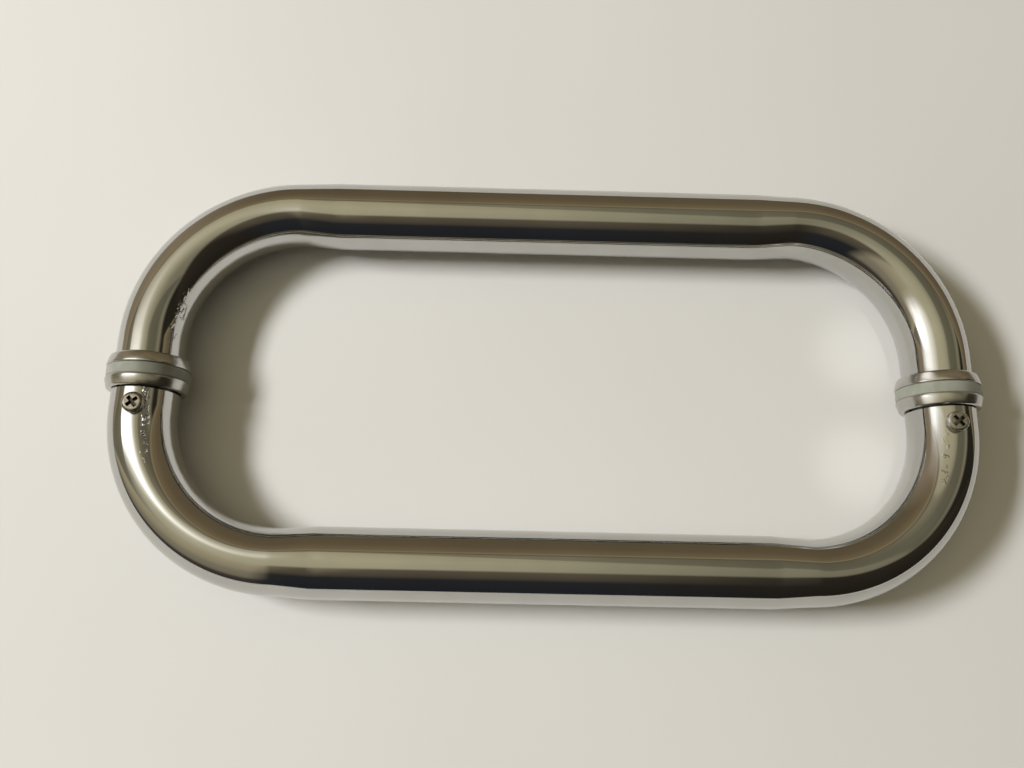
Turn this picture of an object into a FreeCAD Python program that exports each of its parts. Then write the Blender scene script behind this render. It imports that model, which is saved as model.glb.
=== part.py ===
import FreeCAD
import Part
import Sketcher
import os

# A back-to-back pull handle for a glass shower door, lying flat.
# Two bent tubes face each other across the glass plane, Y = 0, and are joined at a left and a right post.
# X runs along the grip bars, Y along the posts, Z up. Z = 0 is the surface that the ring stacks lie on.

os.makedirs("parts", exist_ok=True)
doc = FreeCAD.newDocument("door_handle")

# Driving dimensions, in millimetres and degrees
SIZES = {
    "tube_od": 19.0,
    "tube_wall": 1.2,
    "post_spacing": 220.0,
    "post_stub": 4.7,
    "bend_radius": 40.0,
    "oval_squeeze": 1.3,
    "oval_spread": 0.8,
    "ease_length": 10.0,
    "washer_lip": 1.5,
    "washer_thickness": 3.2,
    "washer_rim": 0.7,
    "washer_taper": 0.7,
    "washer_round": 0.6,
    "washer_edge": 0.3,
    "gasket_inset": 0.1,
    "gasket_thickness": 1.6,
    "gasket_round": 0.45,
    "ring_clearance": 0.2,
    "stud_dia": 8.0,
    "stud_chamfer": 0.8,
    "stud_tip_gap": 0.5,
    "thread_clearance": 0.05,
    "seat_gap": 0.4,
    "plug_length": 6.5,
    "plug_clearance": 0.1,
    "boss_clearance": 0.5,
    "boss_tail": 4.0,
    "boss_chamfer": 0.6,
    "screw_edge": 4.6,
    "screw_lean": 7.0,
    "screw_dia": 3.0,
    "screw_tip_gap": 0.6,
    "screw_tip_chamfer": 0.4,
    "screw_hole_clearance": 0.2,
    "head_dia": 5.6,
    "head_height": 2.1,
    "head_round": 0.9,
    "head_seat_clearance": 0.1,
    "recess_span": 3.4,
    "recess_width": 1.0,
    "recess_depth": 1.3,
    "recess_taper": 8.0,
    "recess_turn": 40.0,
}
sheet = doc.addObject("Spreadsheet::Sheet", "Sizes")
for row, (alias, value) in enumerate(SIZES.items(), start=1):
    sheet.set("A%d" % row, alias)
    sheet.set("B%d" % row, str(value))
    sheet.setAlias("B%d" % row, alias)
doc.recompute()

# Places and sizes that several pieces share, as expressions of the sheet
POST_X = "(Sizes.post_spacing / 2)"
WASHER_RADIUS = "(Sizes.tube_od / 2 + Sizes.washer_lip)"
AXIS_Z = WASHER_RADIUS
STACK = "(Sizes.gasket_thickness + Sizes.washer_thickness)"
BEND_START = "(%s + Sizes.post_stub)" % STACK
BAR_REACH = "(%s + Sizes.bend_radius)" % BEND_START
BEND_X = "(%s - Sizes.bend_radius)" % POST_X
GRIP_HALF = "(%s - Sizes.ease_length)" % BEND_X
OVAL_WIDTH = "(Sizes.tube_od - Sizes.oval_squeeze)"
OVAL_DEPTH = "(Sizes.tube_od + Sizes.oval_spread)"
RING_BORE = "(Sizes.stud_dia / 2 + Sizes.ring_clearance)"
THREAD_BORE = "(Sizes.stud_dia / 2 + Sizes.thread_clearance)"
BOSS_RADIUS = "(%s / 2 - Sizes.tube_wall - Sizes.boss_clearance)" % OVAL_WIDTH
BOSS_END = "(%s + Sizes.seat_gap + Sizes.screw_edge + Sizes.boss_tail)" % STACK
SCREW_Y = "(%s + Sizes.seat_gap + Sizes.screw_edge)" % STACK
HEAD_SEAT = "(%s / 2 + Sizes.head_seat_clearance)" % OVAL_DEPTH
SCREW_LENGTH = "(%s - Sizes.stud_dia / 2 - Sizes.screw_tip_gap)" % HEAD_SEAT
LEAN = "(Sizes.screw_lean * 1 deg)"

X_AXIS = FreeCAD.Vector(1, 0, 0)
Y_AXIS = FreeCAD.Vector(0, 1, 0)
Z_AXIS = FreeCAD.Vector(0, 0, 1)
SIDES = {"left": -1, "right": 1}
TOLERANCE = 1e-4

sub_parts = []


def finish(piece, label):
    """Gives a finished sub-part the name of its node."""
    piece.Label = label
    sub_parts.append(piece)


def bind(piece, **expressions):
    """Ties properties of a piece to expressions; a double underscore stands for a dot."""
    for name, expression in expressions.items():
        piece.setExpression(name.replace("__", "."), expression)


def value_of(expression):
    """The present value of an expression of the sheet."""
    return float(sheet.evalExpression(expression))


def place_on_post(piece, side, along="0"):
    """Puts a piece on the axis of the left or right post, at a place along Y."""
    bind(piece, Placement__Base__x="%d * %s" % (SIDES[side], POST_X), Placement__Base__y=along,
         Placement__Base__z=AXIS_Z)


def lean_inward(piece, side):
    """Turns a piece about its post by the lean of the retaining screw, towards the middle of the handle."""
    inward = FreeCAD.Rotation(Y_AXIS * -SIDES[side], SIZES["screw_lean"])
    piece.Placement = FreeCAD.Placement(FreeCAD.Vector(), inward)
    bind(piece, Placement__Rotation__Angle=LEAN)


def add_sketch(body, name, role):
    """An empty sketch on one of a body's own origin planes."""
    plane = next(feature for feature in body.Origin.OriginFeatures if feature.Role == role)
    sketch = body.newObject("Sketcher::SketchObject", name)
    sketch.AttachmentSupport = [(plane, "")]
    sketch.MapMode = "FlatFace"
    return sketch


def hold_size(sketch, constraint, expression):
    """Adds a sized constraint and ties its size to an expression."""
    index = sketch.addConstraint(constraint)
    sketch.setExpression("Constraints[%d]" % index, expression)


def hold_point(sketch, geometry, vertex, place):
    """Holds a sketch point at an (x, y) pair of expressions from the sketch origin."""
    for kind, expression in zip(("DistanceX", "DistanceY"), place):
        distance = Sketcher.Constraint(kind, -1, 1, geometry, vertex, value_of(expression))
        hold_size(sketch, distance, expression)


def add_outline(sketch, points):
    """A closed outline of straight lines through (x, y) pairs of expressions."""
    places = [FreeCAD.Vector(value_of(x), value_of(y), 0) for x, y in points]
    following = [(index + 1) % len(points) for index in range(len(points))]
    for index, after in enumerate(following):
        sketch.addGeometry(Part.LineSegment(places[index], places[after]), False)
    for index, after in enumerate(following):
        sketch.addConstraint(Sketcher.Constraint("Coincident", index, 2, after, 1))
        hold_point(sketch, index, 1, points[index])


def add_circle(sketch, centre, diameter):
    """A circle at an (x, y) pair of expressions, with a diameter expression."""
    place = FreeCAD.Vector(value_of(centre[0]), value_of(centre[1]), 0)
    size = value_of(diameter)
    circle = sketch.addGeometry(Part.Circle(place, Z_AXIS, size / 2), False)
    hold_point(sketch, circle, 3, centre)
    hold_size(sketch, Sketcher.Constraint("Diameter", circle, size), diameter)


def turned_body(name, role, points):
    """A body turned about its sketch's vertical axis from a half section of (radius, height) expressions."""
    body = doc.addObject("PartDesign::Body", name)
    sketch = add_sketch(body, name + "_section", role)
    add_outline(sketch, points)
    turning = body.newObject("PartDesign::Revolution", name + "_turning")
    turning.Profile = sketch
    turning.ReferenceAxis = (sketch, ["V_Axis"])
    turning.Angle = 360
    doc.recompute()
    return body


def ring_section(bore, radius, low, high):
    """Half section of a plain ring between two heights."""
    return [(bore, low), (radius, low), (radius, high), (bore, high)]


def dress_ring(body, kind, size, radius, height):
    """Rounds or chamfers the circular edge of a turned body at a radius and a height along its axis."""
    base = body.Tip
    wanted_radius = value_of(radius)
    wanted_height = value_of(height)
    names = []
    for number, edge in enumerate(base.Shape.Edges, start=1):
        if not isinstance(edge.Curve, Part.Circle):
            continue
        centre = edge.Curve.Center
        off_axis = abs(edge.Curve.Radius - wanted_radius)
        if off_axis < TOLERANCE and abs(centre.y + centre.z - wanted_height) < TOLERANCE:
            names.append("Edge%d" % number)
    dressing = body.newObject("PartDesign::" + kind, "%s_%s" % (body.Name, kind.lower()))
    dressing.Base = (base, names)
    bind(dressing, **{"Radius" if kind == "Fillet" else "Size": size})
    doc.recompute()


# Bent tubes

# Turns the plane of an oval so that its long axis stands up along Z and its normal lies along Y
OVAL_UPRIGHT = FreeCAD.Rotation(FreeCAD.Vector(1, 1, 1), 240)


def oval(name, turn, place, half_width, half_depth):
    """An upright oval section, turned about Z so that it lies square to the tube's path."""
    section = doc.addObject("Part::Ellipse", name)
    section.Placement = FreeCAD.Placement(FreeCAD.Vector(), FreeCAD.Rotation(Z_AXIS, turn) * OVAL_UPRIGHT)
    bind(section, MinorRadius=half_width, MajorRadius=half_depth, Placement__Base__x=place[0],
         Placement__Base__y=place[1], Placement__Base__z=AXIS_Z)
    return section


def bent_bar(name, facing, end, skin):
    """A solid C along the tube's path: the outside of the tube, or its bore where the skin is the wall."""
    half_width = "%s / 2 - %s" % (OVAL_WIDTH, skin)
    half_depth = "%s / 2 - %s" % (OVAL_DEPTH, skin)
    radius = "Sizes.tube_od / 2 - %s" % skin
    bend_y = "%d * %s" % (facing, BEND_START)
    bar_y = "%d * %s" % (facing, BAR_REACH)

    foot = oval(name + "_foot", 0, (POST_X, bend_y), half_width, half_depth)
    stub = doc.addObject("Part::Extrusion", name + "_stub")
    stub.Base = foot
    stub.DirMode = "Custom"
    stub.Dir = Y_AXIS * -facing
    stub.Solid = True
    bind(stub, LengthFwd="%s - %s" % (BEND_START, end))

    bend = doc.addObject("Part::Revolution", name + "_bend")
    bend.Source = foot
    bend.Axis = Z_AXIS * facing
    bend.Angle = 90
    bend.Solid = True
    bind(bend, Base__x=BEND_X, Base__y=bend_y)

    ease = doc.addObject("Part::Loft", name + "_ease")
    ease.Sections = [oval(name + "_bend_end", 90, (BEND_X, bar_y), half_width, half_depth),
                     oval(name + "_grip_end", 90, (GRIP_HALF, bar_y), radius, radius)]
    ease.Solid = True
    ease.Ruled = True

    corner = doc.addObject("Part::MultiFuse", name + "_right_corner")
    corner.Shapes = [stub, bend, ease]
    other_corner = doc.addObject("Part::Mirroring", name + "_left_corner")
    other_corner.Source = corner
    other_corner.Normal = X_AXIS

    grip = doc.addObject("Part::Cylinder", name + "_grip")
    grip.Placement = FreeCAD.Placement(FreeCAD.Vector(), FreeCAD.Rotation(Y_AXIS, 90))
    bind(grip, Radius=radius, Height="2 * %s" % GRIP_HALF, Placement__Base__x="-1 * %s" % GRIP_HALF,
         Placement__Base__y=bar_y, Placement__Base__z=AXIS_Z)

    whole = doc.addObject("Part::MultiFuse", name)
    whole.Shapes = [corner, grip, other_corner]
    return whole


def bent_tube(name, facing, end):
    """A hollow bent tube whose posts face one way along Y and end at a distance from the glass plane."""
    tube = doc.addObject("Part::Cut", name)
    tube.Base = bent_bar(name + "_outside", facing, end, "0")
    tube.Tool = bent_bar(name + "_bore", facing, end, "Sizes.tube_wall")
    return tube


def screw_hole(side):
    """The drilling for a retaining screw, from the post's axis out through the upper wall."""
    drill = doc.addObject("Part::Cylinder", side + "_screw_drilling")
    lean_inward(drill, side)
    place_on_post(drill, side, "-1 * %s" % SCREW_Y)
    bind(drill, Radius="Sizes.screw_dia / 2 + Sizes.screw_hole_clearance", Height=OVAL_DEPTH)
    return drill


finish(bent_tube("upper_bent_tube", 1, STACK), "upper_tube")

drilled = doc.addObject("Part::Cut", "lower_drilled_tube")
drilled.Base = bent_tube("lower_bent_tube", -1, "(%s + Sizes.seat_gap)" % STACK)
drillings = doc.addObject("Part::MultiFuse", "screw_drillings")
drillings.Shapes = [screw_hole(side) for side in SIDES]
drilled.Tool = drillings
finish(drilled, "lower_tube")
doc.recompute()


# Ring stacks, upper and lower, with the lower ones turned over

def washer(name):
    """A polished metal washer: a short straight rim, then a flank that draws in towards the tube."""
    low = "Sizes.gasket_thickness"
    tube_side = "(%s - Sizes.washer_taper)" % WASHER_RADIUS
    section = [
        (RING_BORE, low),
        (WASHER_RADIUS, low),
        (WASHER_RADIUS, "%s + Sizes.washer_rim" % low),
        (tube_side, STACK),
        (RING_BORE, STACK),
    ]
    body = turned_body(name, "XY_Plane", section)
    dress_ring(body, "Fillet", "Sizes.washer_round", tube_side, STACK)
    dress_ring(body, "Chamfer", "Sizes.washer_edge", WASHER_RADIUS, low)
    return body


def gasket(name):
    """A soft plastic ring that lies against the glass, rounded on the side of the metal washer."""
    radius = "(%s - Sizes.gasket_inset)" % WASHER_RADIUS
    high = "Sizes.gasket_thickness"
    body = turned_body(name, "XY_Plane", ring_section(RING_BORE, radius, "0", high))
    dress_ring(body, "Fillet", "Sizes.gasket_round", radius, high)
    return body


for side in SIDES:
    for level, half_turn in (("upper", 0), ("lower", 180)):
        for kind, make in (("washer", washer), ("gasket", gasket)):
            label = "%s_%s_%s" % (side, level, kind)
            ring = make(label + "_body")
            ring.Placement = FreeCAD.Placement(FreeCAD.Vector(), FreeCAD.Rotation(X_AXIS, half_turn))
            place_on_post(ring, side)
            finish(ring, label)


# Fixings inside the posts

def tapped_plug(side):
    """An oval slug in the end of the upper tube, tapped for the stud."""
    name = side + "_plug"
    slug = doc.addObject("Part::Ellipse", name + "_outline")
    slug.Placement = FreeCAD.Placement(FreeCAD.Vector(), OVAL_UPRIGHT)
    fit = "(Sizes.tube_wall + Sizes.plug_clearance)"
    bind(slug, MinorRadius="%s / 2 - %s" % (OVAL_WIDTH, fit), MajorRadius="%s / 2 - %s" % (OVAL_DEPTH, fit))
    place_on_post(slug, side, STACK)
    pressed = doc.addObject("Part::Extrusion", name + "_slug")
    pressed.Base = slug
    pressed.DirMode = "Custom"
    pressed.Dir = Y_AXIS
    pressed.Solid = True
    bind(pressed, LengthFwd="Sizes.plug_length")
    tapping = doc.addObject("Part::Cylinder", name + "_tapping")
    tapping.Placement = FreeCAD.Placement(FreeCAD.Vector(), FreeCAD.Rotation(X_AXIS, -90))
    place_on_post(tapping, side, STACK)
    bind(tapping, Radius=THREAD_BORE, Height="Sizes.plug_length")
    tapped = doc.addObject("Part::Cut", name)
    tapped.Base = pressed
    tapped.Tool = tapping
    return tapped


def through_stud(side):
    """A threaded rod from the plug, through the rings, into the boss."""
    low = "(Sizes.stud_tip_gap - %s)" % BOSS_END
    high = "(%s + Sizes.plug_length - Sizes.stud_tip_gap)" % STACK
    radius = "(Sizes.stud_dia / 2)"
    body = turned_body(side + "_stud_body", "XY_Plane", ring_section("0", radius, low, high))
    for end in (low, high):
        dress_ring(body, "Chamfer", "Sizes.stud_chamfer", radius, end)
    place_on_post(body, side)
    return body


def screw_boss(side):
    """A turned collar on the stud, inside the lower tube, cross-tapped for the retaining screw."""
    low = "(-1 * %s)" % BOSS_END
    high = "(-1 * %s)" % STACK
    body = turned_body(side + "_boss_body", "XY_Plane", ring_section(THREAD_BORE, BOSS_RADIUS, low, high))
    dress_ring(body, "Chamfer", "Sizes.boss_chamfer", BOSS_RADIUS, low)
    sketch = add_sketch(body, side + "_cross_tapping", "XY_Plane")
    add_circle(sketch, ("0", "-1 * %s" % SCREW_Y), "Sizes.screw_dia + 2 * Sizes.thread_clearance")
    tapping = body.newObject("PartDesign::Pocket", side + "_cross_tapped")
    tapping.Profile = sketch
    tapping.Type = "ThroughAll"
    tapping.Reversed = True
    lean_inward(body, side)
    place_on_post(body, side)
    return body


def retaining_screw(side):
    """A pan-head screw with a cross recess, whose head sits on the lower tube."""
    name = side + "_screw_body"
    shank = "(Sizes.screw_dia / 2)"
    head = "(Sizes.head_dia / 2)"
    tip = "(-1 * %s)" % SCREW_LENGTH
    section = [
        ("0", tip),
        ("%s - Sizes.screw_tip_chamfer" % shank, tip),
        (shank, "%s + Sizes.screw_tip_chamfer" % tip),
        (shank, "0"),
        (head, "0"),
        (head, "Sizes.head_height"),
        ("0", "Sizes.head_height"),
    ]
    body = turned_body(name, "XZ_Plane", section)
    dress_ring(body, "Fillet", "Sizes.head_round", head, "Sizes.head_height")
    arm = "Sizes.recess_span / 2"
    half = "Sizes.recess_width / 2"
    quarter = [(arm, half), (half, half), (half, arm)]
    cross = []
    for flip_x, flip_y in ((1, 1), (-1, 1), (-1, -1), (1, -1)):
        corner = [("%d * %s" % (flip_x, x), "%d * %s" % (flip_y, y)) for x, y in quarter]
        cross += corner if flip_x * flip_y > 0 else corner[::-1]
    sketch = add_sketch(body, side + "_cross_recess", "XY_Plane")
    turn = FreeCAD.Rotation(Z_AXIS, SIZES["recess_turn"])
    sketch.AttachmentOffset = FreeCAD.Placement(FreeCAD.Vector(), turn)
    bind(sketch, AttachmentOffset__Base__z="Sizes.head_height",
         AttachmentOffset__Rotation__Angle="Sizes.recess_turn * 1 deg")
    add_outline(sketch, cross)
    recess = body.newObject("PartDesign::Pocket", side + "_recess")
    recess.Profile = sketch
    bind(recess, Length="Sizes.recess_depth", TaperAngle="-1 deg * Sizes.recess_taper")
    lean_inward(body, side)
    bind(body, Placement__Base__x="%d * (%s - %s * sin(%s))" % (SIDES[side], POST_X, HEAD_SEAT, LEAN),
         Placement__Base__y="-1 * %s" % SCREW_Y,
         Placement__Base__z="%s + %s * cos(%s)" % (AXIS_Z, HEAD_SEAT, LEAN))
    return body


for side in SIDES:
    finish(tapped_plug(side), side + "_tapped_plug")
    finish(through_stud(side), side + "_stud")
    finish(screw_boss(side), side + "_screw_boss")
    finish(retaining_screw(side), side + "_retaining_screw")

doc.recompute()

# Every object has to be sound before any file is written
for item in doc.Objects:
    if "Invalid" in item.State or "Error" in item.State:
        raise RuntimeError("%s did not build: %s" % (item.Name, item.State))
for piece in sub_parts:
    if piece.Shape.isNull() or not piece.Shape.isValid():
        raise RuntimeError("%s has no sound shape" % piece.Label)
for piece in sub_parts:
    piece.Shape.exportStep("parts/%s.step" % piece.Label)
    box = piece.Shape.BoundBox
    print("%-24s %10.2f mm3  x %8.2f %8.2f  y %8.2f %8.2f  z %7.2f %7.2f  solids %d" % (
        piece.Label, piece.Shape.Volume, box.XMin, box.XMax, box.YMin, box.YMax, box.ZMin, box.ZMax,
        len(piece.Shape.Solids)))
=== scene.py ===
import math

import bmesh
import bpy
from mathutils import Matrix, Vector


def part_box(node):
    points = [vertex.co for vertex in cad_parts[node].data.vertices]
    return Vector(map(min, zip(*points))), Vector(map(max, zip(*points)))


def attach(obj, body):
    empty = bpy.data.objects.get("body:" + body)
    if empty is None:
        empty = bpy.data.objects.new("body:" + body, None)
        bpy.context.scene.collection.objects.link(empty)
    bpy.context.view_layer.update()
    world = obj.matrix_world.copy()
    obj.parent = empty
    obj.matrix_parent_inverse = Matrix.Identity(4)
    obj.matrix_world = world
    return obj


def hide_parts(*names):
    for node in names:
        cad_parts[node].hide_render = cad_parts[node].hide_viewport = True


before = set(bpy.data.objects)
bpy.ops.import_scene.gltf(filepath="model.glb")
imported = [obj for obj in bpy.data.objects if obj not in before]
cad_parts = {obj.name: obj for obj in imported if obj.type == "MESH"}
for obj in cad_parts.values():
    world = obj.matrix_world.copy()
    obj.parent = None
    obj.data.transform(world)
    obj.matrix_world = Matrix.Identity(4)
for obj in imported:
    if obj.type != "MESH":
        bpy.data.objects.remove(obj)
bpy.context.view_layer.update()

SIDES = {"left": -1, "right": 1}
HALVES = {"upper": 1, "lower": -1}

# Sizes of the handle, in metres: places are read from the frame
ring_low, ring_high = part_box("right_upper_washer")
gasket_low, gasket_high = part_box("right_upper_gasket")
tube_low, tube_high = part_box("upper_tube")
POST_X = (ring_low.x + ring_high.x) / 2
AXIS_Z = (ring_low.z + ring_high.z) / 2
WASHER_RADIUS = (ring_high.z - ring_low.z) / 2
GASKET_RADIUS = (gasket_high.z - gasket_low.z) / 2
OVAL_WIDTH = 2 * (tube_high.x - POST_X)
OVAL_DEPTH = tube_high.z - tube_low.z
TUBE_OD = 0.019
TUBE_WALL = 0.0012
BEND_RADIUS = 0.040
EASE_LENGTH = 0.010
BAR_REACH = tube_high.y - TUBE_OD / 2
SCREW_HOLE_RADIUS = 0.0017
SCREW_LEAN = math.radians(7)
SCREW_HEAD_RISE = 0.0022
RECESS_REACH = 0.0018
RECESS_EDGE = 0.0001
RING_BORE = 0.0042
WASHER_RIM = 0.0007
WASHER_TAPER = 0.0007
WASHER_ROUND = 0.0006
WASHER_EDGE = 0.0003
GASKET_ROUND = 0.00045

# How finely the round forms are divided
TUBE_SIDES = 96
BEND_STEPS = 72
EASE_STEPS = 12
GRIP_STEPS = 30
RING_STEPS = 128
HOLE_SIDES = 48
WASHER_EDGE_STEPS = 4
WASHER_ROUND_STEPS = 8
GASKET_ROUND_STEPS = 6
SHARP_ANGLE = math.radians(28)
MERGE = 1e-6


def edges_of(geometry):
    return [part for part in geometry if isinstance(part, bmesh.types.BMEdge)]


def verts_of(geometry):
    return [part for part in geometry if isinstance(part, bmesh.types.BMVert)]


def draw_out(bm, rim, step):
    """Extrudes a rim of edges by a step and returns the new rim."""
    drawn = bmesh.ops.extrude_edge_only(bm, edges=rim)["geom"]
    bmesh.ops.translate(bm, vec=step, verts=verts_of(drawn))
    return edges_of(drawn)


def screw_foot(side):
    """Where a retaining screw's axis meets the post's axis."""
    low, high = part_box(side + "_retaining_screw")
    return Vector((SIDES[side] * POST_X, (low.y + high.y) / 2, AXIS_Z))


def make_piece(bm, name, material, slot, *nodes):
    """Turns a finished bmesh into a piece that stands for CAD nodes."""
    mesh = bpy.data.meshes.new(name)
    bm.to_mesh(mesh)
    bm.free()
    mesh.shade_smooth()
    mesh.set_sharp_from_angle(angle=SHARP_ANGLE)
    piece = bpy.data.objects.new(name, mesh)
    bpy.context.scene.collection.objects.link(piece)
    mesh.materials.append(material)
    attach(piece, "root")
    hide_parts(*nodes)
    return piece


# Materials

# Each finish: a dark and a light tone, the least and most roughness, and how fine its marks are
TUBE_TONES = ((0.515, 0.51, 0.495), (0.555, 0.55, 0.535))
TUBE_ROUGHNESS = (0.045, 0.09)
TUBE_SMUDGE_SCALE = 70
TUBE_WAVE_SCALE = 22
TUBE_WAVE_DEPTH = 0.00012
WASHER_TONES = ((0.50, 0.49, 0.47), (0.56, 0.55, 0.53))
WASHER_ROUGHNESS = (0.17, 0.26)
WASHER_SMUDGE_SCALE = 260
GASKET_TONES = ((0.235, 0.245, 0.205), (0.285, 0.295, 0.255))
GASKET_ROUGHNESS = (0.36, 0.48)
GASKET_CLOUD_SCALE = 300
GASKET_TRANSLUCENCY = 0.25
GASKET_LIGHT_REACH = (0.0012, 0.0012, 0.001)
# Screw tones: the left screw's darker tones are painted shade and the right screw's lighter tones are
# painted light, on one plating. The recess levels are painted shade in each cross recess.
SHADED_LEFT_SCREW_TONES = ((0.24, 0.215, 0.18), (0.43, 0.395, 0.34))
LEFT_RECESS_SHADE = 0.2
LIT_RIGHT_SCREW_TONES = ((0.36, 0.34, 0.31), (0.58, 0.55, 0.51))
RIGHT_RECESS_SHADE = 0.4
SCREW_ROUGHNESS = (0.22, 0.38)
SCREW_PATCH_SCALE = 900
FIXING_TONES = ((0.46, 0.45, 0.44), (0.58, 0.57, 0.56))
FIXING_ROUGHNESS = (0.25, 0.40)
FIXING_MARK_SCALE = 500
FIXING_MARK_STRETCH = (1, 12, 1)

# Pitted lines on the tubes, and the share of the noise in which a pit rises from nothing to its full depth
PITTED_LINES = (
    {"centre": (-0.1055, -0.0155), "half_width": 0.00045, "half_length": 0.0060, "lean": -0.10,
     "grain": 700, "depth": 0.0004},
    {"centre": (0.1052, -0.0195), "half_width": 0.00045, "half_length": 0.0042, "lean": 0.15,
     "grain": 550, "depth": 0.00013},
    {"centre": (-0.1017, 0.0165), "half_width": 0.0005, "half_length": 0.0042, "lean": 0.20,
     "grain": 450, "depth": 0.00015},
)
PIT_SHARE = (0.54, 0.64)


def start_material(name):
    """A new node material, with its node tree and main shader."""
    material = bpy.data.materials.new(name)
    material.use_nodes = True
    tree = material.node_tree
    shader = tree.nodes["Principled BSDF"]
    return material, tree, shader


def object_noise(tree, scale, detail, stretch=(1, 1, 1)):
    """A noise over Object coordinates; stretch squeezes it along each axis."""
    coords = tree.nodes.new("ShaderNodeTexCoord")
    mapping = tree.nodes.new("ShaderNodeMapping")
    mapping.inputs["Scale"].default_value = stretch
    noise = tree.nodes.new("ShaderNodeTexNoise")
    noise.inputs["Scale"].default_value = scale
    noise.inputs["Detail"].default_value = detail
    tree.links.new(coords.outputs["Object"], mapping.inputs["Vector"])
    tree.links.new(mapping.outputs["Vector"], noise.inputs["Vector"])
    return noise.outputs["Fac"]


def spread(tree, value, low, high, start=0.3, end=0.7):
    """Maps the range start to end of a value, a noise's middle if not given, to the range low to high."""
    node = tree.nodes.new("ShaderNodeMapRange")
    node.inputs["From Min"].default_value = start
    node.inputs["From Max"].default_value = end
    node.inputs["To Min"].default_value = low
    node.inputs["To Max"].default_value = high
    tree.links.new(value, node.inputs["Value"])
    return node.outputs["Result"]


def two_tones(tree, value, dark, light, start=0.35, end=0.65):
    """A colour ramp between two colours."""
    ramp = tree.nodes.new("ShaderNodeValToRGB")
    ramp.color_ramp.elements[0].position = start
    ramp.color_ramp.elements[0].color = (*dark, 1)
    ramp.color_ramp.elements[1].position = end
    ramp.color_ramp.elements[1].color = (*light, 1)
    tree.links.new(value, ramp.inputs["Fac"])
    return ramp.outputs["Color"]


def bumps(tree, height, distance, under=None):
    """A bump of a height map, over another bump where there is one."""
    node = tree.nodes.new("ShaderNodeBump")
    node.inputs["Strength"].default_value = 1.0
    node.inputs["Distance"].default_value = distance
    tree.links.new(height, node.inputs["Height"])
    if under is not None:
        tree.links.new(under, node.inputs["Normal"])
    return node.outputs["Normal"]


def number_math(tree, operation, first, second=None):
    """A math node over a value and, where there is one, a second value or a plain number."""
    node = tree.nodes.new("ShaderNodeMath")
    node.operation = operation
    tree.links.new(first, node.inputs[0])
    if isinstance(second, float):
        node.inputs[1].default_value = second
    elif second is not None:
        tree.links.new(second, node.inputs[1])
    return node.outputs["Value"]


def vector_math(tree, operation, first, second=None):
    """A vector math node over a vector and, where there is one, a fixed second vector."""
    node = tree.nodes.new("ShaderNodeVectorMath")
    node.operation = operation
    tree.links.new(first, node.inputs[0])
    if second is not None:
        node.inputs[1].default_value = second
    return node


def band(tree, value, centre, half):
    """One within half a width of a centre, falling softly to nothing over as much again."""
    away = number_math(tree, "ABSOLUTE", number_math(tree, "SUBTRACT", value, centre))
    return spread(tree, away, 1, 0, half, 2 * half)


def pitted_line(tree, under, centre, half_width, half_length, lean, grain, depth):
    """Small pits in a narrow line along a post, over another bump; the line leans sideways as it rises."""
    coords = tree.nodes.new("ShaderNodeTexCoord")
    place = tree.nodes.new("ShaderNodeSeparateXYZ")
    tree.links.new(coords.outputs["Object"], place.inputs["Vector"])
    centre_x, centre_y = centre
    rise = number_math(tree, "SUBTRACT", place.outputs["Y"], centre_y)
    across = number_math(tree, "SUBTRACT", place.outputs["X"], number_math(tree, "MULTIPLY", rise, lean))
    patch = number_math(tree, "MULTIPLY", band(tree, across, centre_x, half_width),
                        band(tree, place.outputs["Y"], centre_y, half_length))
    pits = spread(tree, object_noise(tree, grain, detail=2), 0, 1, *PIT_SHARE)
    return bumps(tree, number_math(tree, "MULTIPLY", pits, patch), depth, under)


def mirror_polished_steel():
    """Stainless tube, buffed bright: faint waviness, wipe marks, and pits by the screws and in one bend."""
    material, tree, shader = start_material("mirror_polished_steel")
    smudge = object_noise(tree, TUBE_SMUDGE_SCALE, detail=5)
    shader.inputs["Metallic"].default_value = 1.0
    tree.links.new(two_tones(tree, smudge, *TUBE_TONES), shader.inputs["Base Color"])
    tree.links.new(spread(tree, smudge, *TUBE_ROUGHNESS), shader.inputs["Roughness"])
    surface = bumps(tree, object_noise(tree, TUBE_WAVE_SCALE, detail=1), TUBE_WAVE_DEPTH)
    for line in PITTED_LINES:
        surface = pitted_line(tree, surface, **line)
    tree.links.new(surface, shader.inputs["Normal"])
    return material


def turned_steel():
    """Washers: turned and polished, with a duller sheen than the tubes."""
    material, tree, shader = start_material("turned_steel")
    smudge = object_noise(tree, WASHER_SMUDGE_SCALE, detail=4)
    shader.inputs["Metallic"].default_value = 1.0
    tree.links.new(two_tones(tree, smudge, *WASHER_TONES), shader.inputs["Base Color"])
    tree.links.new(spread(tree, smudge, *WASHER_ROUGHNESS), shader.inputs["Roughness"])
    return material


def grey_gasket_plastic():
    """Soft translucent grey plastic."""
    material, tree, shader = start_material("grey_gasket_plastic")
    cloud = object_noise(tree, GASKET_CLOUD_SCALE, detail=4)
    tree.links.new(two_tones(tree, cloud, *GASKET_TONES), shader.inputs["Base Color"])
    tree.links.new(spread(tree, cloud, *GASKET_ROUGHNESS), shader.inputs["Roughness"])
    shader.inputs["Subsurface Weight"].default_value = GASKET_TRANSLUCENCY
    shader.inputs["Subsurface Radius"].default_value = GASKET_LIGHT_REACH
    shader.inputs["Subsurface Scale"].default_value = 1.0
    return material


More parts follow.
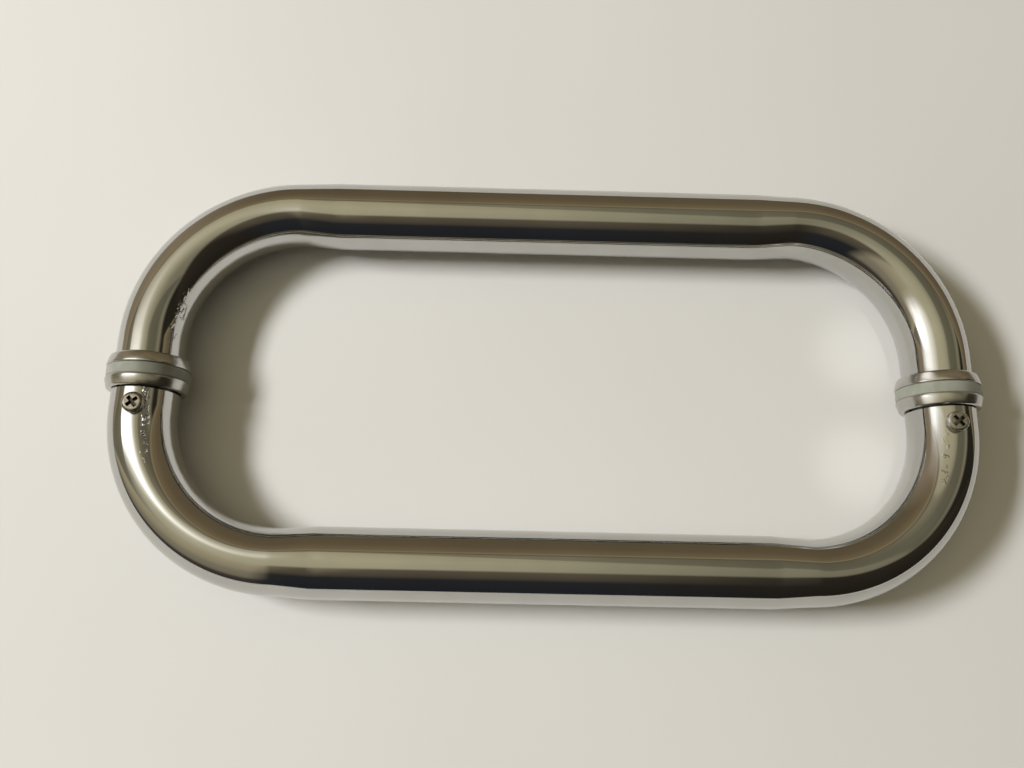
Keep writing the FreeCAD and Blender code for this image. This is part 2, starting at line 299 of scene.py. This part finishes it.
def recess_shade_mask(tree, side):
    """One in the cross recess of a screw's head, where painted shade goes: close to the screw's axis and
    below the head's top.
    """
    axis = Vector((-SIDES[side] * math.sin(SCREW_LEAN), 0, math.cos(SCREW_LEAN)))
    top = screw_foot(side) + axis * (OVAL_DEPTH / 2 + SCREW_HEAD_RISE)
    coords = tree.nodes.new("ShaderNodeTexCoord")
    offset = vector_math(tree, "SUBTRACT", coords.outputs["Object"], top).outputs["Vector"]
    height = vector_math(tree, "DOT_PRODUCT", offset, axis).outputs["Value"]
    across = vector_math(tree, "CROSS_PRODUCT", offset, axis).outputs["Vector"]
    reach = vector_math(tree, "LENGTH", across).outputs["Value"]
    return number_math(tree, "MULTIPLY", spread(tree, height, 1, 0, -2 * RECESS_EDGE, -RECESS_EDGE),
                       spread(tree, reach, 1, 0, RECESS_REACH, RECESS_REACH + RECESS_EDGE))


def plated_screw_steel(name, side, tones, recess_shade):
    """Plated screw, dulled to a dark tone in patches; its tones carry painted shade on the left screw and
    painted light on the right, and painted shade darkens its recess.
    """
    material, tree, shader = start_material(name)
    dull = object_noise(tree, SCREW_PATCH_SCALE, detail=5)
    shader.inputs["Metallic"].default_value = 1.0
    shade = vector_math(tree, "SCALE", two_tones(tree, dull, *tones))
    # Painted shade: the base colour is darkened in the cross recess.
    tree.links.new(spread(tree, recess_shade_mask(tree, side), 1, recess_shade, 0, 1), shade.inputs["Scale"])
    tree.links.new(shade.outputs["Vector"], shader.inputs["Base Color"])
    tree.links.new(spread(tree, dull, *SCREW_ROUGHNESS), shader.inputs["Roughness"])
    return material


def machined_steel():
    """Plain machined steel of the hidden fixings."""
    material, tree, shader = start_material("machined_steel")
    marks = object_noise(tree, FIXING_MARK_SCALE, detail=3, stretch=FIXING_MARK_STRETCH)
    shader.inputs["Metallic"].default_value = 1.0
    tree.links.new(two_tones(tree, marks, *FIXING_TONES), shader.inputs["Base Color"])
    tree.links.new(spread(tree, marks, *FIXING_ROUGHNESS), shader.inputs["Roughness"])
    return material


tube_steel = mirror_polished_steel()
ring_steel = turned_steel()
gasket_plastic = grey_gasket_plastic()
# The left screw's material holds painted shade, the right screw's painted light.
screw_steel = {
    "left": plated_screw_steel("left_screw_steel_painted_shade", "left", SHADED_LEFT_SCREW_TONES, LEFT_RECESS_SHADE),
    "right": plated_screw_steel("right_screw_steel_painted_light", "right", LIT_RIGHT_SCREW_TONES, RIGHT_RECESS_SHADE),
}
fixing_steel = machined_steel()


# Tubes

def section_at(share):
    """Width and depth of the tube a share of the way along the ease, from bend to grip."""
    width = OVAL_WIDTH + (TUBE_OD - OVAL_WIDTH) * share
    depth = OVAL_DEPTH + (TUBE_OD - OVAL_DEPTH) * share
    return width, depth


def bent_tube(half):
    """One bent tube: an oval stub and bend that eases into a round grip, mirrored, with a wall."""
    facing = HALVES[half]
    low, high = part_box(half + "_tube")
    open_end = low.y if facing > 0 else high.y
    bend_y = facing * (BAR_REACH - BEND_RADIUS)
    bend_x = POST_X - BEND_RADIUS
    bm = bmesh.new()
    bmesh.ops.create_circle(bm, segments=TUBE_SIDES, radius=0.5)
    stand = Matrix.Translation((POST_X, open_end, AXIS_Z)) @ Matrix.Rotation(math.pi / 2, 4, "X")
    size = Matrix.Diagonal((OVAL_WIDTH, OVAL_DEPTH, 1, 1))
    bmesh.ops.transform(bm, matrix=stand @ size, verts=bm.verts)
    rim = draw_out(bm, bm.edges[:], Vector((0, bend_y - open_end, 0)))
    rim_verts = list({vert for edge in rim for vert in edge.verts})
    bend = bmesh.ops.spin(bm, geom=rim_verts + rim, cent=(bend_x, bend_y, AXIS_Z),
                          axis=(0, 0, facing), angle=math.pi / 2, steps=BEND_STEPS)
    rim = edges_of(bend["geom_last"])
    bar_axis = Vector((0, facing * BAR_REACH, AXIS_Z))
    to_axis = Matrix.Translation(-bar_axis)
    last_width, last_depth = section_at(0)
    for step in range(1, EASE_STEPS + 1):
        rim = draw_out(bm, rim, Vector((-EASE_LENGTH / EASE_STEPS, 0, 0)))
        width, depth = section_at(step / EASE_STEPS)
        rim_verts = list({vert for edge in rim for vert in edge.verts})
        bmesh.ops.scale(bm, vec=(1, width / last_width, depth / last_depth), space=to_axis,
                        verts=rim_verts)
        last_width, last_depth = width, depth
    grip_step = (bend_x - EASE_LENGTH) / GRIP_STEPS
    for step in range(GRIP_STEPS):
        rim = draw_out(bm, rim, Vector((-grip_step, 0, 0)))
    bmesh.ops.mirror(bm, geom=bm.verts[:] + bm.edges[:] + bm.faces[:], axis="X", merge_dist=MERGE)
    bmesh.ops.remove_doubles(bm, verts=bm.verts, dist=MERGE)
    bmesh.ops.recalc_face_normals(bm, faces=bm.faces)
    bmesh.ops.solidify(bm, geom=bm.faces[:], thickness=TUBE_WALL)
    return make_piece(bm, half + "_bent_tube", tube_steel, "polished_tube", half + "_tube")


def drill(side):
    """A rod along a retaining screw's axis, from the post's axis out past the wall."""
    bm = bmesh.new()
    bmesh.ops.create_cone(bm, cap_ends=True, segments=HOLE_SIDES, radius1=SCREW_HOLE_RADIUS,
                          radius2=SCREW_HOLE_RADIUS, depth=OVAL_DEPTH)
    foot = Matrix.Translation(screw_foot(side))
    lean = Matrix.Rotation(-SIDES[side] * SCREW_LEAN, 4, "Y")
    lift = Matrix.Translation((0, 0, OVAL_DEPTH / 2))
    bmesh.ops.transform(bm, matrix=foot @ lean @ lift, verts=bm.verts)
    mesh = bpy.data.meshes.new(side + "_drill")
    bm.to_mesh(mesh)
    bm.free()
    rod = bpy.data.objects.new(side + "_drill", mesh)
    bpy.context.scene.collection.objects.link(rod)
    return rod


def drill_for_screws(tube):
    """Cuts the screw holes through a tube's upper wall."""
    rods = [drill(side) for side in SIDES]
    for rod in rods:
        cut = tube.modifiers.new(rod.name, "BOOLEAN")
        cut.operation = "DIFFERENCE"
        cut.solver = "EXACT"
        cut.object = rod
    depsgraph = bpy.context.evaluated_depsgraph_get()
    drilled = bpy.data.meshes.new_from_object(tube.evaluated_get(depsgraph))
    drilled.set_sharp_from_angle(angle=SHARP_ANGLE)
    tube.modifiers.clear()
    undrilled = tube.data
    tube.data = drilled
    for mesh in (undrilled, *[rod.data for rod in rods]):
        bpy.data.meshes.remove(mesh)
    drilled.name = tube.name


bent_tube("upper")
drill_for_screws(bent_tube("lower"))


# Ring stacks

def at_height(edge, radius, height, centre):
    """Whether an edge runs round the post's axis at a radius and a height along it."""
    for vert in edge.verts:
        reach = math.hypot(vert.co.x - centre.x, vert.co.z - centre.z)
        if abs(reach - radius) > MERGE or abs(vert.co.y - height) > MERGE:
            return False
    return True


def ring(name, node, flank, roundings, material, slot):
    """A ring round a post, turned from a section whose flank is given, with its outer edges rounded.

    The flank is a list of (radius, height) points from the lower face to the upper one.
    """
    low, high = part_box(node)
    centre = (low + high) / 2
    bm = bmesh.new()
    corners = [(RING_BORE, low.y), *flank, (RING_BORE, high.y)]
    section = [bm.verts.new((centre.x + reach, height, centre.z)) for reach, height in corners]
    sides = [bm.edges.new((section[at - 1], section[at])) for at in range(len(section))]
    bmesh.ops.spin(bm, geom=section + sides, cent=centre, axis=(0, 1, 0), angle=2 * math.pi,
                   steps=RING_STEPS, use_merge=True)
    bmesh.ops.remove_doubles(bm, verts=bm.verts, dist=MERGE)
    bmesh.ops.recalc_face_normals(bm, faces=bm.faces)
    for radius, height, size, steps in roundings:
        edges = [edge for edge in bm.edges if at_height(edge, radius, height, centre)]
        bmesh.ops.bevel(bm, geom=edges, offset=size, offset_type="OFFSET", segments=steps,
                        profile=0.5, affect="EDGES", material=-1, clamp_overlap=False)
    make_piece(bm, name, material, slot, node)


def washer(node, facing):
    """A polished washer: a short straight rim, then a flank that draws in towards the tube."""
    low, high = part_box(node)
    glass_face, tube_face = (low.y, high.y) if facing > 0 else (high.y, low.y)
    tube_side = WASHER_RADIUS - WASHER_TAPER
    flank = [(WASHER_RADIUS, glass_face), (WASHER_RADIUS, glass_face + facing * WASHER_RIM),
             (tube_side, tube_face)]
    roundings = ((WASHER_RADIUS, glass_face, WASHER_EDGE, WASHER_EDGE_STEPS),
                 (tube_side, tube_face, WASHER_ROUND, WASHER_ROUND_STEPS))
    ring(node + "_turned", node, flank[::facing], roundings, ring_steel, "polished_ring")


def gasket(node, facing):
    """A soft gasket, rounded on the side of its washer and square where the two gaskets meet."""
    low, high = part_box(node)
    washer_face = high.y if facing > 0 else low.y
    flank = [(GASKET_RADIUS, low.y), (GASKET_RADIUS, high.y)]
    roundings = ((GASKET_RADIUS, washer_face, GASKET_ROUND, GASKET_ROUND_STEPS),)
    ring(node + "_moulded", node, flank, roundings, gasket_plastic, "grey_gasket")


for side in SIDES:
    for half, facing in HALVES.items():
        washer(side + "_" + half + "_washer", facing)
        gasket(side + "_" + half + "_gasket", facing)


# Fixings that keep their CAD form
for side in SIDES:
    for fixing in ("tapped_plug", "stud", "screw_boss"):
        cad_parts[side + "_" + fixing].material_slots[0].material = fixing_steel
    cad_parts[side + "_retaining_screw"].material_slots[0].material = screw_steel[side]


# Floor

# The colour of the backdrop
PALE = (0.70, 0.68, 0.62)
PAPER_TONES = ((0.70, 0.70, 0.69), (0.725, 0.725, 0.715))
PAPER_ROUGHNESS = 0.85
PAPER_SHEEN = 0.2
PAPER_MOTTLE_SCALE = 6
FLOOR_RADIUS = 6.0
FLOOR_SIDES = 64
# How far from the middle the floor starts to turn into the backdrop, and where it has done so
FLOOR_FADE = (0.22, 0.52)


def paper():
    """Pale, slightly warm paper."""
    material, tree, shader = start_material("pale_paper")
    mottle = object_noise(tree, PAPER_MOTTLE_SCALE, detail=2)
    tree.links.new(two_tones(tree, mottle, *PAPER_TONES), shader.inputs["Base Color"])
    shader.inputs["Roughness"].default_value = PAPER_ROUGHNESS
    shader.inputs["Specular IOR Level"].default_value = PAPER_SHEEN
    fade_to_backdrop(tree, shader)
    return material


def fade_to_backdrop(tree, shader):
    """Far from the handle the floor turns into the pale backdrop, to the eye and in the metal."""
    coords = tree.nodes.new("ShaderNodeTexCoord")
    distance = vector_math(tree, "LENGTH", coords.outputs["Object"]).outputs["Value"]
    far = tree.nodes.new("ShaderNodeMapRange")
    far.interpolation_type = "SMOOTHSTEP"
    far.inputs["From Min"].default_value, far.inputs["From Max"].default_value = FLOOR_FADE
    tree.links.new(distance, far.inputs["Value"])
    path = tree.nodes.new("ShaderNodeLightPath")
    seen = number_math(tree, "MAXIMUM", path.outputs["Is Camera Ray"], path.outputs["Is Glossy Ray"])
    backdrop = tree.nodes.new("ShaderNodeEmission")
    backdrop.inputs["Color"].default_value = (*PALE, 1)
    mix = tree.nodes.new("ShaderNodeMixShader")
    tree.links.new(number_math(tree, "MULTIPLY", far.outputs["Result"], seen), mix.inputs["Fac"])
    tree.links.new(shader.outputs["BSDF"], mix.inputs[1])
    tree.links.new(backdrop.outputs["Emission"], mix.inputs[2])
    tree.links.new(mix.outputs["Shader"], tree.nodes["Material Output"].inputs["Surface"])


def add_floor():
    """The paper that the handle lies on."""
    bm = bmesh.new()
    bmesh.ops.create_circle(bm, cap_ends=True, segments=FLOOR_SIDES, radius=FLOOR_RADIUS)
    mesh = bpy.data.meshes.new("floor")
    bm.to_mesh(mesh)
    bm.free()
    floor = bpy.data.objects.new("floor", mesh)
    mesh.materials.append(paper())
    bpy.context.scene.collection.objects.link(floor)


add_floor()


# Light

LAMP_COLOUR = (1.0, 0.99, 0.985)

KEY_DISTANCE = 1.8
KEY_ELEVATION = math.radians(40)
KEY_AZIMUTH = math.radians(174)
KEY_SIZE = (0.60, 0.25)
KEY_POWER = 34.5

GLOW_PLACES = ((0.0925, 0.0150), (0.0900, -0.0185))
GLOW_HEIGHT = 0.15
GLOW_ANGLE = math.radians(12)
GLOW_SOFTNESS = 0.004
GLOW_POWER = 0.12

# Soft panels that the posts mirror as white stripes. The edges are the outer and the inner one, in x and z,
# and the reach is in y. Across, from the outer edge, and along, from the far end, hold (place, brightness).
LEFT_PANEL = {
    "edges": ((-0.272, 0.150), (-0.100, 0.242)),
    "reach": (-0.09, 0.13),
    "strength": 2.6,
    "across": ((0.0, 0.9), (0.45, 1.0), (0.61, 0.9), (0.72, 0.42), (0.82, 0.15), (1.0, 0.0)),
    "along": ((0.0, 0.0), (0.18, 0.1), (0.32, 0.32), (0.41, 0.6), (0.47, 1.0), (0.6, 1.0), (0.68, 0.25),
              (0.76, 0.05), (1.0, 0.0)),
}
RIGHT_PANEL = {
    "edges": ((0.095, 0.0195), (0.095, 0.0495)),
    "reach": (-0.018, 0.026),
    "strength": 1.35,
    "across": ((0.0, 0.0), (0.03, 0.4), (0.1, 1.0), (0.27, 1.0), (0.38, 0.6), (0.55, 0.3), (0.8, 0.04),
               (1.0, 0.0)),
    "along": ((0.0, 0.0), (0.045, 0.1), (0.082, 0.5), (0.12, 1.0), (0.39, 1.0), (0.44, 0.4), (0.61, 0.4),
              (0.66, 0.9), (0.777, 0.5), (0.83, 0.32), (0.895, 0.12), (1.0, 0.0)),
}


def add_lamp(name, size, place, towards):
    """An area lamp at a place, facing back along a direction."""
    lamp = bpy.data.lights.new(name, "AREA")
    lamp.shape = "RECTANGLE"
    lamp.size, lamp.size_y = size
    lamp.color = LAMP_COLOUR
    panel = bpy.data.objects.new(name, lamp)
    panel.location = place
    panel.rotation_euler = towards.to_track_quat("Z", "Y").to_euler()
    panel.visible_camera = False
    bpy.context.scene.collection.objects.link(panel)
    return panel


def add_key_light():
    """The light that falls on the paper, from the left."""
    level = math.cos(KEY_ELEVATION)
    towards = Vector((math.cos(KEY_AZIMUTH) * level, math.sin(KEY_AZIMUTH) * level,
                      math.sin(KEY_ELEVATION)))
    key = add_lamp("key_light", KEY_SIZE, towards * KEY_DISTANCE, towards)
    key.data.energy = KEY_POWER
    key.visible_glossy = False


def add_glows():
    """The faint spots of light that the right post throws back onto the paper."""
    for x, y in GLOW_PLACES:
        lamp = bpy.data.lights.new("glow", "SPOT")
        lamp.spot_size = GLOW_ANGLE
        lamp.spot_blend = 1.0
        lamp.shadow_soft_size = GLOW_SOFTNESS
        lamp.energy = GLOW_POWER
        glow = bpy.data.objects.new("glow", lamp)
        glow.location = (x, y, GLOW_HEIGHT)
        glow.visible_glossy = False
        bpy.context.scene.collection.objects.link(glow)


def add_panel(name, edges, reach, strength, across, along):
    """A soft panel that the metal mirrors."""
    (outer_x, outer_z), (inner_x, inner_z) = edges
    length = math.hypot(inner_x - outer_x, inner_z - outer_z)
    width = reach[1] - reach[0]
    place = Vector(((outer_x + inner_x) / 2, sum(reach) / 2, (outer_z + inner_z) / 2))
    towards = Vector((outer_z - inner_z, 0, inner_x - outer_x)).normalized()
    panel = add_lamp(name, (width, length), place, towards)
    panel.data.energy = math.pi * length * width * strength
    panel.visible_diffuse = False
    panel.data.use_nodes = True
    tree = panel.data.node_tree
    surface = tree.nodes.new("ShaderNodeNewGeometry")
    split = tree.nodes.new("ShaderNodeSeparateXYZ")
    tree.links.new(surface.outputs["Parametric"], split.inputs["Vector"])
    along_level = add_ramp(tree, split.outputs["X"], 0, 1, as_greys(along))
    across_level = add_ramp(tree, split.outputs["Y"], 0, 1, as_greys(across))
    level = number_math(tree, "MULTIPLY", across_level, along_level)
    tree.links.new(level, tree.nodes["Emission"].inputs["Strength"])


def as_greys(levels):
    """Ramp stops in grey from (place, level) pairs."""
    return [(place, (level, level, level)) for place, level in levels]


def add_ramp(tree, value, low, high, stops):
    """A colour ramp over a value, with stops given in the value's own units."""
    share = spread(tree, value, 0, 1, low, high)
    ramp = tree.nodes.new("ShaderNodeValToRGB")
    elements = ramp.color_ramp.elements
    elements.remove(elements[1])
    for at, (place, colour) in enumerate(stops):
        position = (place - low) / (high - low)
        stop = elements[0] if at == 0 else elements.new(position)
        stop.position = position
        stop.color = (*colour, 1)
    tree.links.new(share, ramp.inputs["Fac"])
    return ramp.outputs["Color"]


# What the metal mirrors, by degrees from straight up towards the upper bar
ROOM_SPAN = (-90, 90)
WALLS = (
    (-90, (0.022, 0.018, 0.012)),
    (-48, (0.030, 0.025, 0.018)),
    (-20, (0.040, 0.033, 0.022)),
    (-14, (0.0, 0.0, 0.0)),
    (32, (0.0, 0.0, 0.0)),
    (35, (0.15, 0.12, 0.075)),
    (38, (0.36, 0.30, 0.19)),
    (41, (0.25, 0.19, 0.105)),
    (60, (0.18, 0.137, 0.078)),
    (90, (0.155, 0.12, 0.070)),
)
CEILING = (
    (-20, (0.0, 0.0, 0.0)),
    (-14, (0.60, 0.55, 0.375)),
    (8, (0.65, 0.60, 0.40)),
    (32, (0.57, 0.51, 0.33)),
    (35, (0.0, 0.0, 0.0)),
)
LEFT_WALL = (
    (-90, (0.03, 0.02, 0.01)),
    (-76, (0.05, 0.038, 0.02)),
    (-66, (0.25, 0.215, 0.14)),
    (-20, (0.38, 0.335, 0.22)),
    (-14, (0.0, 0.0, 0.0)),
)
FRONT_WALL = (
    (-90, (0.0, 0.006, 0.018)),
    (-48, (0.0, 0.006, 0.015)),
    (-38, (0.072, 0.060, 0.042)),
    (-20, (0.115, 0.097, 0.066)),
    (-14, (0.0, 0.0, 0.0)),
)
BACK_CORNER = (
    (35, (0.0, 0.0, 0.0)),
    (41, (0.13, 0.11, 0.085)),
    (60, (0.16, 0.135, 0.105)),
    (90, (0.16, 0.135, 0.11)),
)
# How bright each part of the room is along a direction: from left to right, or slanting
LEFT_TO_RIGHT = (1.0, 0.0, 0.0)
LEFT_WALL_SLANT = (1.0, -0.176, 0.0)
LEFT_WALL_FADE = ((-0.24, 1.0), (-0.09, 0.0))
FRONT_WALL_FADE = ((0.1, 1.0), (0.35, 0.0))
BACK_CORNER_FADE = ((-0.7, 1.0), (-0.35, 0.0))
CEILING_FADE = (
    (-0.9, 0.36),
    (-0.75, 0.5),
    (-0.6, 0.92),
    (-0.3, 1.0),
    (0.0, 0.86),
    (0.15, 0.67),
    (0.3, 0.5),
    (0.6, 0.45),
    (0.75, 0.9),
)
# The ceiling is darker past a slanting line on its upper right, and low down on the right
CEILING_SLANT = (0.87, 1.0, -0.435)
CEILING_SHADE = ((-0.025, 1.0), (0.025, 0.62))
RIGHT_SLANT = (1.0, -0.5, -0.9)
RIGHT_SHADE = ((0.05, 1.0), (0.25, 0.08))


def level_along(tree, direction, slant, levels):
    """A brightness that changes along a slant through the room."""
    along = vector_math(tree, "DOT_PRODUCT", direction, slant).outputs["Value"]
    return add_ramp(tree, along, -1, 1, as_greys(levels))


def light_from(tree, degrees, tones, level=None):
    """The light of one part of the room, from its tones by angle and its level."""
    light = tree.nodes.new("ShaderNodeBackground")
    tree.links.new(add_ramp(tree, degrees, *ROOM_SPAN, tones), light.inputs["Color"])
    if level is not None:
        tree.links.new(level, light.inputs["Strength"])
    return light.outputs["Background"]


def added(tree, first, second):
    """Two lights of the room, one on top of the other."""
    node = tree.nodes.new("ShaderNodeAddShader")
    tree.links.new(first, node.inputs[0])
    tree.links.new(second, node.inputs[1])
    return node.outputs["Shader"]


def add_room():
    """Soft surroundings: a beige ceiling between a brown side and a dark side, and pale to the camera."""
    world = bpy.data.worlds.new("room")
    bpy.context.scene.world = world
    world.use_nodes = True
    tree = world.node_tree
    tree.nodes.clear()
    direction = tree.nodes.new("ShaderNodeTexCoord").outputs["Generated"]
    split = tree.nodes.new("ShaderNodeSeparateXYZ")
    tree.links.new(direction, split.inputs["Vector"])
    angle = number_math(tree, "ARCTAN2", split.outputs["Y"], split.outputs["Z"])
    degrees = number_math(tree, "DEGREES", angle)
    room = light_from(tree, degrees, WALLS)
    for tones, slant, levels in ((LEFT_WALL, LEFT_WALL_SLANT, LEFT_WALL_FADE),
                                 (FRONT_WALL, LEFT_TO_RIGHT, FRONT_WALL_FADE),
                                 (BACK_CORNER, LEFT_TO_RIGHT, BACK_CORNER_FADE)):
        wall = light_from(tree, degrees, tones, level_along(tree, direction, slant, levels))
        room = added(tree, room, wall)
    level = level_along(tree, direction, LEFT_TO_RIGHT, CEILING_FADE)
    for slant, levels in ((CEILING_SLANT, CEILING_SHADE), (RIGHT_SLANT, RIGHT_SHADE)):
        level = number_math(tree, "MULTIPLY", level, level_along(tree, direction, slant, levels))
    room = added(tree, room, light_from(tree, degrees, CEILING, level))
    pale = tree.nodes.new("ShaderNodeBackground")
    pale.inputs["Color"].default_value = (*PALE, 1)
    path = tree.nodes.new("ShaderNodeLightPath")
    mix = tree.nodes.new("ShaderNodeMixShader")
    tree.links.new(path.outputs["Is Camera Ray"], mix.inputs["Fac"])
    tree.links.new(room, mix.inputs[1])
    tree.links.new(pale.outputs["Background"], mix.inputs[2])
    out = tree.nodes.new("ShaderNodeOutputWorld")
    tree.links.new(mix.outputs["Shader"], out.inputs["Surface"])


add_key_light()
add_glows()
add_panel("left_panel", **LEFT_PANEL)
add_panel("right_panel", **RIGHT_PANEL)
add_room()


# Camera

# The photograph's camera: a 1024 by 768 picture with a focal length of 836 pixels
PICTURE_WIDTH = 1024
FOCAL_PIXELS = 836
SENSOR_WIDTH = 36
CAMERA_PLACE = (-0.01202, -0.05792, 0.23655)
CAMERA_TURN = (math.radians(14.465), math.radians(-0.97), math.radians(1.152))
NEAREST_VIEW = 0.01


def add_camera():
    """The photograph's view."""
    data = bpy.data.cameras.new("camera")
    data.sensor_width = SENSOR_WIDTH
    data.lens = FOCAL_PIXELS / PICTURE_WIDTH * SENSOR_WIDTH
    data.clip_start = NEAREST_VIEW
    camera = bpy.data.objects.new("camera", data)
    camera.location = CAMERA_PLACE
    camera.rotation_euler = CAMERA_TURN
    bpy.context.scene.collection.objects.link(camera)
    bpy.context.scene.camera = camera


add_camera()
bpy.context.scene.view_settings.view_transform = "Standard"
